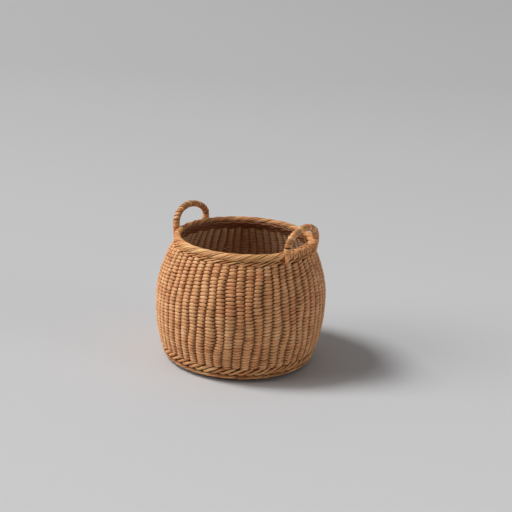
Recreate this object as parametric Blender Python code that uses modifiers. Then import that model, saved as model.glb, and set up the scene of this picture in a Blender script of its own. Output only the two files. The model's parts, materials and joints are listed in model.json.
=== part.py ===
"""Small round basket of split willow with two wrapped ear handles.

Units are metres, +Z is up and the origin is on the floor under the middle of the base. The front
handle stands at +X. Fifty-six stakes run up the wall. They are the ends of 28 rods that cross
under the base in two layers. The weave lies over them as an outer and an inner skin, and the
wales, the rolled border, the handle rods, their windings, collars and bindings are pieces apart.
"""

import math

import bmesh
import bpy
from mathutils import Vector

# Counts
RODS_EACH_WAY = 14
WALL_ROWS = 6
BORDER_STRANDS = 3
BORDER_TURNS = 13
STEPS_PER_STROKE = 3
STEPS_PER_STAKE = 2
WALE_SIDES = 4
HANDLE_LEG_GAPS = {"front": (-3, 3), "back": (25, 31)}
HEIGHT_SOLVE_STEPS = 12
ARCH_POINTS = 13
ARCH_SAMPLES = 240
LOOP_POINTS = 8
COLLAR_SIDES = 12

# Side wall, measured on the crests of the outer ribs
BELLY_RADIUS = 0.0500
BELLY_HEIGHT = 0.0350
FOOT_RADIUS = 0.0466
FOOT_HEIGHT = 0.0080
NECK_RADIUS = 0.0410
NECK_HEIGHT = 0.0686
LOWER_CURVE_POWER = 2.4
UPPER_CURVE_POWER = 2.05

# Layers of the wall, from the outside in
CLEARANCE = 0.0003
OUTER_WEAVE_THICKNESS = 0.0011
INNER_WEAVE_THICKNESS = 0.0010
RIB_DEPTH = 0.0006
STAKE_DIAMETER = 0.0016

# Base
BASE_THICKNESS = 0.0011
BASE_FLAT_RADIUS = 0.0240
BASE_EDGE_RISE = 0.0013
BASE_EDGE_GAP = 0.0009
ROD_GAP = 0.0004
FAN_RADIUS = 0.0300
STAKE_BEND = 0.0009
INNER_WEAVE_FOOT = 0.0065

# Wales
WALE_STANDOUT = 0.0003
WALE_THICKNESS = 0.0014
WALE_STROKE_DEPTH = 0.0004
FOOT_WALE_THICKNESS = 0.0018
FOOT_WALE_WIDTH = 0.0030
UPPER_FOOT_WALE_WIDTH = 0.0036
TOP_WALE_WIDTH = 0.0024

# Rolled border
BORDER_HEIGHT = 0.0713
BORDER_THICKNESS = 0.0048
BORDER_GROOVE = 0.0004

# Handles
HANDLE_ROD_DIAMETER = 0.0014
HANDLE_RISES = {"front": 0.0145, "back": 0.0125}
HANDLE_OVERHANGS = {"front": 0.0010, "back": 0.0020}
HANDLE_LEG_DEPTH = 0.0070
COLLAR_DIAMETER = 0.0054
COLLAR_HEIGHT = 0.0026
COLLAR_EDGE = 0.0004
WRAP_STRAND = 0.0013
WRAP_PITCH = 0.0022
BINDING_WIDTH = 0.0030
BINDING_THICKNESS = 0.0006
BINDING_TAIL = 0.0045

# Worked out from the sizes above
STAKES = 4 * RODS_EACH_WAY
STAKE_PITCH = 2 * math.pi / STAKES
ROD_RADIUS = STAKE_DIAMETER / 2
STAKE_DEPTH = OUTER_WEAVE_THICKNESS + CLEARANCE + ROD_RADIUS
INNER_SKIN_DEPTH = STAKE_DEPTH + ROD_RADIUS + CLEARANCE
INSIDE_DEPTH = INNER_SKIN_DEPTH + INNER_WEAVE_THICKNESS
ROD_SPACING = STAKE_DIAMETER + ROD_GAP
LOWER_ROD_HEIGHT = BASE_THICKNESS + CLEARANCE + ROD_RADIUS
UPPER_ROD_HEIGHT = LOWER_ROD_HEIGHT + STAKE_DIAMETER + CLEARANCE
BASE_INSIDE_BOTTOM = UPPER_ROD_HEIGHT + ROD_RADIUS + CLEARANCE
STAKE_CORNER_HEIGHT = UPPER_ROD_HEIGHT + CLEARANCE
BORDER_TUBE = BORDER_THICKNESS / 2
BORDER_TOP = BORDER_HEIGHT + BORDER_TUBE
WRAP_RADIUS = HANDLE_ROD_DIAMETER / 2 + CLEARANCE + WRAP_STRAND / 2
COLLAR_BOTTOM = BORDER_TOP + CLEARANCE
COLLAR_TOP = COLLAR_BOTTOM + COLLAR_HEIGHT

# The wall's pieces follow each other upwards, a clearance apart
UPPER_FOOT_WALE_TOP = FOOT_HEIGHT
UPPER_FOOT_WALE_BOTTOM = UPPER_FOOT_WALE_TOP - UPPER_FOOT_WALE_WIDTH
OUTER_WEAVE_BOTTOM = UPPER_FOOT_WALE_TOP + CLEARANCE
TOP_WALE_TOP = BORDER_HEIGHT - BORDER_TUBE + CLEARANCE
TOP_WALE_BOTTOM = TOP_WALE_TOP - TOP_WALE_WIDTH
OUTER_WEAVE_TOP = TOP_WALE_BOTTOM - CLEARANCE
INNER_WEAVE_TOP = TOP_WALE_TOP + INNER_WEAVE_THICKNESS


def wall_radius(height):
    """Radius of the wall's outer face at a height, on a rib's crest."""
    if height < BELLY_HEIGHT:
        share = (BELLY_HEIGHT - height) / (BELLY_HEIGHT - FOOT_HEIGHT)
        return BELLY_RADIUS - (BELLY_RADIUS - FOOT_RADIUS) * share ** LOWER_CURVE_POWER
    share = (height - BELLY_HEIGHT) / (NECK_HEIGHT - BELLY_HEIGHT)
    return BELLY_RADIUS - (BELLY_RADIUS - NECK_RADIUS) * share ** UPPER_CURVE_POWER


def wall_slope(height):
    """How much the wall's radius grows with height."""
    step = CLEARANCE
    return (wall_radius(height + step) - wall_radius(height - step)) / (2 * step)


def wall_point(height, depth):
    """Radius and height of a point a depth inside the wall's outer face, square to the face."""
    normal = Vector((1, -wall_slope(height))).normalized()
    return Vector((wall_radius(height), height)) - depth * normal


def inner_weave_bottom():
    """Height on the outer face that is square across from the inner skin's lowest ring."""
    height = INNER_WEAVE_FOOT
    for _ in range(HEIGHT_SOLVE_STEPS):
        height += INNER_WEAVE_FOOT - wall_point(height, INNER_SKIN_DEPTH).y
    return height


def border_radius():
    """Radius of the border's middle, which sits on the ends of the stakes."""
    return wall_point(TOP_WALE_TOP, STAKE_DEPTH).x


def wall_rows(bottom, top):
    """Heights of a layer's rings: its own two ends and the rows that all layers share."""
    shared = [
        OUTER_WEAVE_BOTTOM + (OUTER_WEAVE_TOP - OUTER_WEAVE_BOTTOM) * row / WALL_ROWS
        for row in range(WALL_ROWS + 1)
    ]
    return [bottom] + [height for height in shared if bottom < height < top] + [top]


def around(radius, height, angle):
    """A point at a radius and height, turned round the basket's axis."""
    return Vector((radius * math.cos(angle), radius * math.sin(angle), height))


def stake_angle(index):
    """Direction of a stake. The gaps between stakes lie at whole pitches."""
    return (index + 0.5) * STAKE_PITCH


def make_material(name, colour, roughness):
    """Principled material of one colour."""
    material = bpy.data.materials.new(name)
    material.use_nodes = True
    shader = material.node_tree.nodes["Principled BSDF"]
    shader.inputs["Base Color"].default_value = (*colour, 1)
    shader.inputs["Roughness"].default_value = roughness
    shader.inputs["Metallic"].default_value = 0
    return material


def add_object(name, data, material, parent, collection):
    """Put mesh or curve data in the collection as a named piece."""
    data.materials.append(material)
    piece = bpy.data.objects.new(name, data)
    piece.parent = parent
    collection.objects.link(piece)
    return piece


def mesh_from_rings(name, rings):
    """Closed mesh over rings that run round the axis, the last joined to the first.

    A ring has as many points as its neighbour, twice as many or half as many.
    """
    shape = bmesh.new()
    loops = [[shape.verts.new(point) for point in ring] for ring in rings]
    for first, second in zip(loops, loops[1:] + loops[:1]):
        join_rings(shape, first, second)
    bmesh.ops.recalc_face_normals(shape, faces=shape.faces)
    mesh = bpy.data.meshes.new(name)
    shape.to_mesh(mesh)
    shape.free()
    return mesh


def join_rings(shape, first, second):
    """Faces between two rings of points."""
    if len(first) < len(second):
        first, second = second, first
    count = len(second)
    fine = len(first) // count
    for index in range(count):
        following = (index + 1) % count
        if fine == 1:
            shape.faces.new((first[index], first[following], second[following], second[index]))
            continue
        start, middle, end = (first[(2 * index + step) % len(first)] for step in range(3))
        shape.faces.new((start, middle, second[index]))
        shape.faces.new((middle, second[following], second[index]))
        shape.faces.new((middle, end, second[following]))


def ring_at(radius, height, count):
    """Ring of points with one point over each stake, or more."""
    return [around(radius, height, stake_angle(index * STAKES / count)) for index in range(count)]


def plain_ring(height, depth):
    """Ring inside the wall, a point on each stake."""
    return ring_at(*wall_point(height, depth), STAKES)


def ribbed_ring(height):
    """Ring on the wall's outer face, a crest over each stake and a valley between."""
    crest = ring_at(*wall_point(height, 0), STEPS_PER_STAKE * STAKES)
    valley = ring_at(*wall_point(height, RIB_DEPTH), STEPS_PER_STAKE * STAKES)
    return [crest[index] if index % 2 == 0 else valley[index] for index in range(len(crest))]


def add_outer_weave(context):
    """Outer passes of the weave, ribbed over the stakes."""
    rows = wall_rows(OUTER_WEAVE_BOTTOM, OUTER_WEAVE_TOP)
    outer = [ribbed_ring(height) for height in rows]
    inner = [plain_ring(height, OUTER_WEAVE_THICKNESS) for height in reversed(rows)]
    add_object("outer_weave", mesh_from_rings("outer_weave", outer + inner), *context)


def add_inner_weave(context):
    """Inner passes of the weave."""
    rows = wall_rows(inner_weave_bottom(), INNER_WEAVE_TOP)
    outer = [plain_ring(height, INNER_SKIN_DEPTH) for height in rows]
    inner = [plain_ring(height, INSIDE_DEPTH) for height in reversed(rows)]
    add_object("inner_weave", mesh_from_rings("inner_weave", outer + inner), *context)


def foot_corner():
    """Radius and height where a stake turns up from the base: below the wall, and a bend inside it."""
    height = inner_weave_bottom()
    above = wall_point(height, STAKE_DEPTH)
    inward = wall_slope(height) * (above.y - STAKE_CORNER_HEIGHT) + STAKE_BEND
    return Vector((above.x - inward, STAKE_CORNER_HEIGHT))


def stake_path(crossing, level, angle):
    """Half of a rod: from its edge of the crossing, out over the base and up the wall."""
    corner = foot_corner()
    fan_height = (LOWER_ROD_HEIGHT + UPPER_ROD_HEIGHT) / 2
    path = [Vector((*crossing, level)), around(FAN_RADIUS, fan_height, angle)]
    path.append(around(*corner, angle))
    for height in wall_rows(inner_weave_bottom(), TOP_WALE_TOP):
        path.append(around(*wall_point(height, STAKE_DEPTH), angle))
    return path


def tube_curve(name, points, diameter, resolution):
    """Round tube with flat caps along straight runs between points."""
    curve = bpy.data.curves.new(name, "CURVE")
    curve.dimensions = "3D"
    spline = curve.splines.new("POLY")
    spline.points.add(len(points) - 1)
    for knot, point in zip(spline.points, points):
        knot.co = (*point, 1)
    curve.bevel_depth = diameter / 2
    curve.bevel_resolution = resolution
    curve.use_fill_caps = True
    return curve


def add_stakes(context):
    """The 28 rods, each a stake at both its ends, in two crossing layers."""
    edge = ROD_SPACING * RODS_EACH_WAY / 2
    for layer, level in (("x", LOWER_ROD_HEIGHT), ("y", UPPER_ROD_HEIGHT)):
        for index in range(RODS_EACH_WAY):
            place = (index + 0.5) * ROD_SPACING - edge
            angle = stake_angle(index - RODS_EACH_WAY // 2)
            ends = [stake_path((edge, place), level, angle)]
            ends.append(stake_path((-edge, place), level, math.pi - angle))
            points = list(reversed(ends[1])) + ends[0]
            if layer == "y":
                points = [Vector((point.y, point.x, point.z)) for point in points]
            name = f"stake_{layer}{index + 1:02d}"
            add_object(name, tube_curve(name, points, STAKE_DIAMETER, 0), *context)


def add_base(context):
    """Woven disc under the crossing rods and the one over them."""
    edge_radius = foot_corner().x - BASE_EDGE_GAP
    low = [(0, 0), (BASE_FLAT_RADIUS, 0), (edge_radius, BASE_EDGE_RISE)]
    section = low + [(radius, height + BASE_THICKNESS) for radius, height in reversed(low)]
    add_turned("base_under", section, STAKES, context)
    inside_radius = wall_point(inner_weave_bottom(), INSIDE_DEPTH).x - CLEARANCE
    low = [(0, BASE_INSIDE_BOTTOM), (inside_radius, BASE_INSIDE_BOTTOM)]
    section = low + [(radius, height + BASE_THICKNESS) for radius, height in reversed(low)]
    add_turned("base_inside", section, STAKES, context)


def add_turned(name, section, steps, context):
    """Solid turned about Z from a section.

    A section that starts on the axis also ends there, and any other is a closed loop.
    """
    mesh = bpy.data.meshes.new(name)
    points = [(radius, 0, height) for radius, height in reversed(section)]
    edges = [(index, index + 1) for index in range(len(points) - 1)]
    if section[0][0] > 0:
        edges.append((len(points) - 1, 0))
    mesh.from_pydata(points, edges, [])
    piece = add_object(name, mesh, *context)
    turn = piece.modifiers.new("turn", "SCREW")
    turn.steps = steps
    turn.render_steps = steps
    turn.use_merge_vertices = True
    turn.merge_threshold = CLEARANCE / 10
    return piece


def shaped_torus(name, major, minor, place_vertex):
    """Torus primitive whose vertices are moved to the places that a rule gives.

    The rule takes the angle round the basket and the angle round the section.
    """
    bpy.ops.mesh.primitive_torus_add(
        major_segments=major, minor_segments=minor,
        major_radius=border_radius(), minor_radius=BORDER_TUBE,
    )
    ring = bpy.context.object
    mesh = ring.data
    mesh.name = name
    for vertex in mesh.vertices:
        angle = math.atan2(vertex.co.y, vertex.co.x)
        out = math.hypot(vertex.co.x, vertex.co.y) - border_radius()
        section_angle = math.atan2(vertex.co.z, out)
        vertex.co = place_vertex(angle, section_angle)
    bpy.data.objects.remove(ring)
    return mesh


def lower_wale_centre(outward):
    """Middle of the lowest wale: outside the stakes' corner, and below the wale over it."""
    along = Vector((-outward.y, outward.x))
    centre = foot_corner() + (ROD_RADIUS + CLEARANCE + FOOT_WALE_THICKNESS / 2) * outward
    low_edge = min(
        wall_point(UPPER_FOOT_WALE_BOTTOM, depth).dot(along)
        for depth in (-WALE_STANDOUT, WALE_THICKNESS - WALE_STANDOUT)
    )
    room = low_edge - CLEARANCE - FOOT_WALE_WIDTH / 2 - centre.dot(along)
    return centre + min(room, 0) * along


def add_wale(name, centre, outward, thickness, width, context):
    """Row of stout strands round the wall, with strokes that slant over each stake."""
    along = Vector((-outward.y, outward.x))
    corner = math.pi / WALE_SIDES

    def place(angle, section_angle):
        turned = section_angle + corner
        across = math.copysign(thickness / 2, math.cos(turned))
        up = math.copysign(width / 2, math.sin(turned))
        stroke = math.cos(STAKES * (angle - stake_angle(0)))
        if across > 0:
            across -= WALE_STROKE_DEPTH * (1 - math.copysign(1, up) * stroke) / 2
        spot = centre + across * outward + up * along
        return around(*spot, angle)

    mesh = shaped_torus(name, STEPS_PER_STAKE * STAKES, WALE_SIDES, place)
    add_object(name, mesh, *context)


def add_wales(context):
    """Two wales round the foot and one under the border."""
    outward = Vector((1, -1)).normalized()
    centre = lower_wale_centre(outward)
    add_wale("foot_wale_lower", centre, outward, FOOT_WALE_THICKNESS, FOOT_WALE_WIDTH, context)
    for name, bottom, top in (
        ("foot_wale_upper", UPPER_FOOT_WALE_BOTTOM, UPPER_FOOT_WALE_TOP),
        ("top_wale", TOP_WALE_BOTTOM, TOP_WALE_TOP),
    ):
        middle = (bottom + top) / 2
        face = wall_point(middle, -WALE_STANDOUT)
        outward = (face - wall_point(middle, OUTER_WEAVE_THICKNESS)).normalized()
        centre = face - outward * WALE_THICKNESS / 2
        width = (wall_point(top, 0) - wall_point(bottom, 0)).length
        add_wale(name, centre, outward, WALE_THICKNESS, width, context)


def add_border(context):
    """Rope-like rolled border."""

    def place(angle, section_angle):
        groove = BORDER_GROOVE * (1 - math.cos(BORDER_STRANDS * section_angle)) / 2
        turned = section_angle + BORDER_TURNS * angle
        reach = BORDER_TUBE - groove
        radius = border_radius() + reach * math.cos(turned)
        return around(radius, BORDER_HEIGHT + reach * math.sin(turned), angle)

    strokes = BORDER_STRANDS * BORDER_TURNS
    mesh = shaped_torus("rim_border", strokes * STEPS_PER_STROKE, 2 * BORDER_STRANDS, place)
    add_object("rim_border", mesh, *context)


def leg_radius():
    """Radius at which the handles' legs pass the border on its outside."""
    return border_radius() + BORDER_TUBE + CLEARANCE + HANDLE_ROD_DIAMETER / 2


class HandleArch:
    """Middle line of one handle: two upright legs and the arch between them."""

    def __init__(self, side, gaps):
        self.rise = BORDER_HEIGHT + HANDLE_RISES[side] - COLLAR_TOP
        self.overhang = HANDLE_OVERHANGS[side]
        self.leg_angles = [gap * STAKE_PITCH for gap in gaps]
        self.angle = sum(self.leg_angles) / 2
        spread = (self.leg_angles[1] - self.leg_angles[0]) / 2
        self.outward = Vector((math.cos(self.angle), math.sin(self.angle), 0))
        self.sideways = Vector((-math.sin(self.angle), math.cos(self.angle), 0))
        self.half_span = leg_radius() * math.sin(spread)
        self.plane = leg_radius() * math.cos(spread)
        self.points = [self.arch_point(step / ARCH_SAMPLES) for step in range(ARCH_SAMPLES + 1)]
        self.lengths = [0]
        for first, second in zip(self.points, self.points[1:]):
            self.lengths.append(self.lengths[-1] + (second - first).length)

    def arch_point(self, share):
        """Point of the arch above the collars: half an ellipse that leans out towards its top."""
        turn = math.pi * share
        out = self.plane + self.overhang * math.sin(turn) ** 2
        across = -self.half_span * math.cos(turn)
        height = COLLAR_TOP + self.rise * math.sin(turn)
        return out * self.outward + across * self.sideways + Vector((0, 0, height))

    def along(self, length):
        """Point and direction at a length along the arch."""
        index = 1
        while index < ARCH_SAMPLES and self.lengths[index] < length:
            index += 1
        first, second = self.points[index - 1], self.points[index]
        run = self.lengths[index] - self.lengths[index - 1]
        share = (length - self.lengths[index - 1]) / run
        return first.lerp(second, share), (second - first).normalized()

    def rod_points(self):
        """Route of the rod: up the outside of the wall and border, over the arch and down again."""
        proud = WALE_STANDOUT + CLEARANCE + HANDLE_ROD_DIAMETER / 2
        legs = []
        for angle in self.leg_angles:
            leg = []
            for height in (TOP_WALE_TOP - HANDLE_LEG_DEPTH, TOP_WALE_BOTTOM, TOP_WALE_TOP):
                leg.append(around(*wall_point(height, -proud), angle))
            leg.append(around(leg_radius(), BORDER_HEIGHT, angle))
            legs.append(leg)
        step = self.lengths[-1] / (ARCH_POINTS - 1)
        arch = [self.along(index * step)[0] for index in range(ARCH_POINTS)]
        return legs[0] + arch + list(reversed(legs[1]))

    def wrap_points(self):
        """Windings of the skein round the rod, with a straight end at each collar."""
        spare = WRAP_STRAND + CLEARANCE
        loops = math.floor((self.lengths[-1] - 2 * spare) / WRAP_PITCH)
        start = (self.lengths[-1] - loops * WRAP_PITCH) / 2
        points = [self.wrap_point(CLEARANCE, 0)]
        for step in range(loops * LOOP_POINTS + 1):
            turns = step / LOOP_POINTS
            points.append(self.wrap_point(start + turns * WRAP_PITCH, turns))
        points.append(self.wrap_point(self.lengths[-1] - CLEARANCE, loops))
        return points

    def wrap_point(self, length, turns):
        """Point of the winding at a length along the arch after some turns."""
        middle, direction = self.along(length)
        side = direction.cross(self.outward).normalized()
        top = side.cross(direction)
        turn = 2 * math.pi * turns
        return middle + WRAP_RADIUS * (math.cos(turn) * top + math.sin(turn) * side)


def least_gap(points, thickness, apart):
    """Smallest gap of a tube to itself between points that are some steps apart."""
    nearest = min(
        (first - second).length
        for index, first in enumerate(points)
        for second in points[index + apart:]
    )
    return nearest - thickness


def add_handle(side, gaps, wood, skein):
    """One ear handle: rod, winding, and a collar and a binding at each foot."""
    arch = HandleArch(side, gaps)
    name = f"{side}_handle"
    rod = tube_curve(f"{name}_rod", arch.rod_points(), HANDLE_ROD_DIAMETER, 1)
    add_object(f"{name}_rod", rod, *wood)
    windings = arch.wrap_points()
    gap = least_gap(windings, WRAP_STRAND, LOOP_POINTS // 2)
    print(f"{name}_wrap: least gap to itself {gap * 1000:.2f} mm")
    wrap = tube_curve(f"{name}_wrap", windings, WRAP_STRAND, 1)
    add_object(f"{name}_wrap", wrap, *skein)
    for foot, angle in zip(("left", "right"), arch.leg_angles):
        add_collar(f"{name}_collar_{foot}", angle, skein)
        add_binding(f"{name}_binding_{foot}", angle, skein)


def add_collar(name, angle, context):
    """Band of skein round the foot of a handle, beside the top of the border."""
    bore = HANDLE_ROD_DIAMETER / 2 + CLEARANCE
    outside = COLLAR_DIAMETER / 2
    section = [
        (bore, 0), (outside - COLLAR_EDGE, 0), (outside, COLLAR_EDGE),
        (outside, COLLAR_HEIGHT - COLLAR_EDGE), (outside - COLLAR_EDGE, COLLAR_HEIGHT),
        (bore, COLLAR_HEIGHT),
    ]
    collar = add_turned(name, section, COLLAR_SIDES, context)
    collar.location = around(leg_radius(), COLLAR_BOTTOM, angle)


def add_binding(name, angle, context):
    """Flat strip that holds a leg against the outside of the border and the wall."""
    proud = HANDLE_ROD_DIAMETER / 2 + CLEARANCE + BINDING_THICKNESS / 2
    line = [
        Vector((leg_radius() + proud, COLLAR_BOTTOM - CLEARANCE)),
        Vector((leg_radius() + proud, BORDER_HEIGHT)),
    ]
    proud += WALE_STANDOUT + CLEARANCE + HANDLE_ROD_DIAMETER / 2
    for height in (TOP_WALE_TOP, TOP_WALE_BOTTOM, TOP_WALE_BOTTOM - BINDING_TAIL):
        line.append(wall_point(height, -proud))
    sideways = Vector((-math.sin(angle), math.cos(angle), 0)) * BINDING_WIDTH / 2
    points = []
    for spot in line:
        points += [around(*spot, angle) - sideways, around(*spot, angle) + sideways]
    faces = [(2 * row, 2 * row + 2, 2 * row + 3, 2 * row + 1) for row in range(len(line) - 1)]
    mesh = bpy.data.meshes.new(name)
    mesh.from_pydata(points, [], faces)
    strip = add_object(name, mesh, *context)
    wall = strip.modifiers.new("thickness", "SOLIDIFY")
    wall.thickness = BINDING_THICKNESS
    wall.offset = 0


def main():
    """Build the basket's pieces."""
    for old in list(bpy.data.objects):
        bpy.data.objects.remove(old)
    parts = bpy.data.collections.new("split_willow_basket")
    bpy.context.scene.collection.children.link(parts)
    frame = bpy.data.objects.new("basket_frame", None)
    parts.objects.link(frame)
    weave = (make_material("woven split willow", (0.60, 0.33, 0.15), 0.50), frame, parts)
    rods = (make_material("whole willow rod", (0.44, 0.23, 0.10), 0.60), frame, parts)
    border = (make_material("rolled willow ends", (0.62, 0.32, 0.13), 0.45), frame, parts)
    skein = (make_material("willow skein", (0.63, 0.36, 0.17), 0.40), frame, parts)
    add_base(weave)
    add_stakes(rods)
    add_outer_weave(weave)
    add_inner_weave(weave)
    add_wales(border)
    add_border(border)
    for side, gaps in HANDLE_LEG_GAPS.items():
        add_handle(side, gaps, rods, skein)


main()
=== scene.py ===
"""Looks of a small round basket of split willow with two wrapped ear handles.

Units are metres and +Z is up. Every strand is laid along a route that a short rule gives, over the
places that the part's own solids hold, and the finishes are peeled willow of four kinds.
"""

import json
import logging
import math
from dataclasses import dataclass, field
from enum import Enum

import bpy
import numpy as np
from mathutils import Matrix, Vector

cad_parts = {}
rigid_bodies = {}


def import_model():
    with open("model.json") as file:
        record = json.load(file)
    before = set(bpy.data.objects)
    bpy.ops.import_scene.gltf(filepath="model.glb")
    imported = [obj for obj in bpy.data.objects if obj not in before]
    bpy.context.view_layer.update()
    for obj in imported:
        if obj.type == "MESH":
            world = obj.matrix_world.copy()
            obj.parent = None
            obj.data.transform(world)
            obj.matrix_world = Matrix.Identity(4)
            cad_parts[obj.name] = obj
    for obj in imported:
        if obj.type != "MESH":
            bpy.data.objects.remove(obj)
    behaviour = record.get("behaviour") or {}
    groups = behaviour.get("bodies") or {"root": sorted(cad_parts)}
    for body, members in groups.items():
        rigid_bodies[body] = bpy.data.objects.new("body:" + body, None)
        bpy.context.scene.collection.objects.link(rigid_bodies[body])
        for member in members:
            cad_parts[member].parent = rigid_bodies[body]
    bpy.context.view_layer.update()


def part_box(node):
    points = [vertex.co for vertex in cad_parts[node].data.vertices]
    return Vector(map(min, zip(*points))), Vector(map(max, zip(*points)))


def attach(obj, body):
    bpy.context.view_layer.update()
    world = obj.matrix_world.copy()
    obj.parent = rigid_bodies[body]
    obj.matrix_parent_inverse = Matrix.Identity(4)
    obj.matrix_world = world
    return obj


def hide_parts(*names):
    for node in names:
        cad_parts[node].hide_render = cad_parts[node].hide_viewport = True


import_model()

LOG = logging.getLogger("basket")
BODY = "root"
TURN = 2 * math.pi
MM = 0.001
TONE = "tone"
HUE = "hue"
# Attribute of painted shade: how far a vertex is darkened to its finish's recess colour
RECESS_SHADE = "recess_shade"
# Attribute of painted light: how far a vertex facing the basket's inside takes the paler inside colour
PAINTED_INSIDE_LIGHT = "painted_inside_light"


class Slot(Enum):
    """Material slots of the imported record."""

    WOVEN = "woven_willow"
    STOUT = "stout_willow"
    ROD = "willow_rod"
    SKEIN = "willow_skein"


class Layer(Enum):
    """The two crossing layers of rods under the base, and the axis each runs along."""

    X = "x"
    Y = "y"


class BaseFace(Enum):
    """The two woven discs of the base."""

    UNDER = "under"
    INSIDE = "inside"


def deselect_all() -> None:
    """Leave nothing selected, because an operator acts on all that is."""
    for thing in bpy.context.view_layer.objects.selected:
        thing.select_set(False)


def linear(hex_colour: str) -> tuple[float, float, float, float]:
    """Turn an sRGB hex colour to linear values.

    Args:
        hex_colour: colour such as "#C89A6C".

    Returns:
        Linear red, green and blue, and an alpha of one.
    """
    parts = [int(hex_colour[start:start + 2], 16) / 255 for start in (1, 3, 5)]
    values = [p / 12.92 if p <= 0.04045 else ((p + 0.055) / 1.055) ** 2.4 for p in parts]
    return (*values, 1.0)


def unit(vectors: np.ndarray) -> np.ndarray:
    """Scale each row to length one."""
    return vectors / np.linalg.norm(vectors, axis=-1, keepdims=True)


def blend_between(values: np.ndarray, place: np.ndarray) -> np.ndarray:
    """Read a closed row of values at places between them, without a corner.

    Args:
        values: one value for each whole place, closed round on itself.
        place: places, where whole numbers fall on the values.

    Returns:
        The blended values, as many as there are places.
    """
    low = np.floor(place).astype(int)
    share = place - low
    share = share * share * (3 - 2 * share)
    count = len(values)
    return values[low % count] * (1 - share) + values[(low + 1) % count] * share


def circle(steps: int) -> np.ndarray:
    """Angles of even steps round one full turn."""
    return TURN * np.arange(steps) / steps


def uneven(
    rng: np.random.Generator, spread: float, place: np.ndarray, count: int | None = None,
) -> np.ndarray:
    """Random values, one for each whole place of a closed row, read without a corner in between.

    Args:
        rng: source of the draws.
        spread: how much the values differ.
        place: places to read at.
        count: how many whole places the row has, where it isn't one for each stake.

    Returns:
        The values, as many as there are places.
    """
    return blend_between(rng.normal(0, spread, count or STAKES.count), place)


def around(radius: np.ndarray, height: np.ndarray, angle: np.ndarray) -> np.ndarray:
    """Points at radii and heights, turned round the basket's axis.

    Args:
        radius: distances from the axis.
        height: heights above the floor.
        angle: directions round the axis.

    Returns:
        Points as rows of three.
    """
    radius, height, angle = np.broadcast_arrays(radius, height, angle)
    return np.stack([radius * np.cos(angle), radius * np.sin(angle), height], axis=-1)


def rounded(points: np.ndarray, times: int) -> np.ndarray:
    """Cut the corners of an open run of points, so that it bends smoothly.

    Args:
        points: rows of three.
        times: how often the corners are cut.

    Returns:
        A finer run with the same two ends.
    """
    for _ in range(times):
        early = points[:-1] * 0.75 + points[1:] * 0.25
        late = points[:-1] * 0.25 + points[1:] * 0.75
        middle = np.stack([early, late], axis=1).reshape(-1, 3)
        points = np.concatenate([points[:1], middle, points[-1:]])
    return points


@dataclass(frozen=True)
class WallShape:
    """Side wall of the basket, as the part's solids have it.

    A height is measured on the wall's outer face, and a depth runs inwards, square to that face.
    """

    belly_radius: float = 0.0500
    belly_height: float = 0.0350
    foot_radius: float = 0.0461
    foot_height: float = 0.0080
    neck_radius: float = 0.0410
    neck_height: float = 0.0686
    lower_power: float = 2.4
    upper_power: float = 2.05
    stake_depth: float = 0.0022
    weave_bottom: float = 0.0083
    weave_top: float = 0.0680
    table_steps: int = 400

    def _share(self, height: np.ndarray) -> tuple[np.ndarray, np.ndarray, np.ndarray]:
        """Share of the way from the belly to the foot or the neck, with that stretch's sizes.

        Args:
            height: heights on the outer face.

        Returns:
            The shares, the height of each one's stretch and how much radius it loses.
        """
        low = height < self.belly_height
        run = np.where(low, self.belly_height - self.foot_height, self.neck_height - self.belly_height)
        loss = np.where(low, self.belly_radius - self.foot_radius, self.belly_radius - self.neck_radius)
        return np.abs(height - self.belly_height) / run, run, loss

    def radius(self, height: np.ndarray) -> np.ndarray:
        """Radius of the outer face at heights."""
        share, _, loss = self._share(height)
        power = np.where(height < self.belly_height, self.lower_power, self.upper_power)
        return self.belly_radius - loss * share ** power

    def slope(self, height: np.ndarray) -> np.ndarray:
        """How much the radius grows with height.

        Args:
            height: heights on the outer face.

        Returns:
            The slopes, negative above the belly.
        """
        share, run, loss = self._share(height)
        power = np.where(height < self.belly_height, self.lower_power, self.upper_power)
        sign = np.where(height < self.belly_height, 1.0, -1.0)
        return sign * loss * power * share ** (power - 1) / run

    def point(self, height: np.ndarray, depth: np.ndarray) -> tuple[np.ndarray, np.ndarray]:
        """Radius and true height of points a depth inside the outer face.

        Args:
            height: heights on the outer face.
            depth: depths, square to the face.

        Returns:
            The radii and the heights.
        """
        slope = self.slope(height)
        norm = np.sqrt(1 + slope * slope)
        return self.radius(height) - depth / norm, height + depth * slope / norm

    def upward(self, height: np.ndarray, angle: np.ndarray) -> np.ndarray:
        """Directions that run up the wall at heights and angles."""
        slope = self.slope(height)
        return unit(around(slope, np.ones_like(slope), angle))

    def arc_table(self) -> tuple[np.ndarray, np.ndarray]:
        """Table of the wall's length.

        Returns:
            Heights up the wall, and the length of wall below each.
        """
        heights = np.linspace(self.weave_bottom, self.weave_top, self.table_steps)
        radius, level = self.point(heights, self.stake_depth)
        steps = np.hypot(np.diff(radius), np.diff(level))
        return heights, np.concatenate([[0], np.cumsum(steps)])

    def height_at(self, length: np.ndarray) -> np.ndarray:
        """Heights at lengths of wall, also a little past the weave's two ends.

        Args:
            length: lengths of wall above the weave's bottom.

        Returns:
            Heights on the outer face.
        """
        heights, lengths = self.arc_table()
        slack = (heights[-1] - heights[0]) / lengths[-1]
        inside = np.interp(length, lengths, heights)
        return inside + (length - np.clip(length, 0, lengths[-1])) * slack


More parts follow.
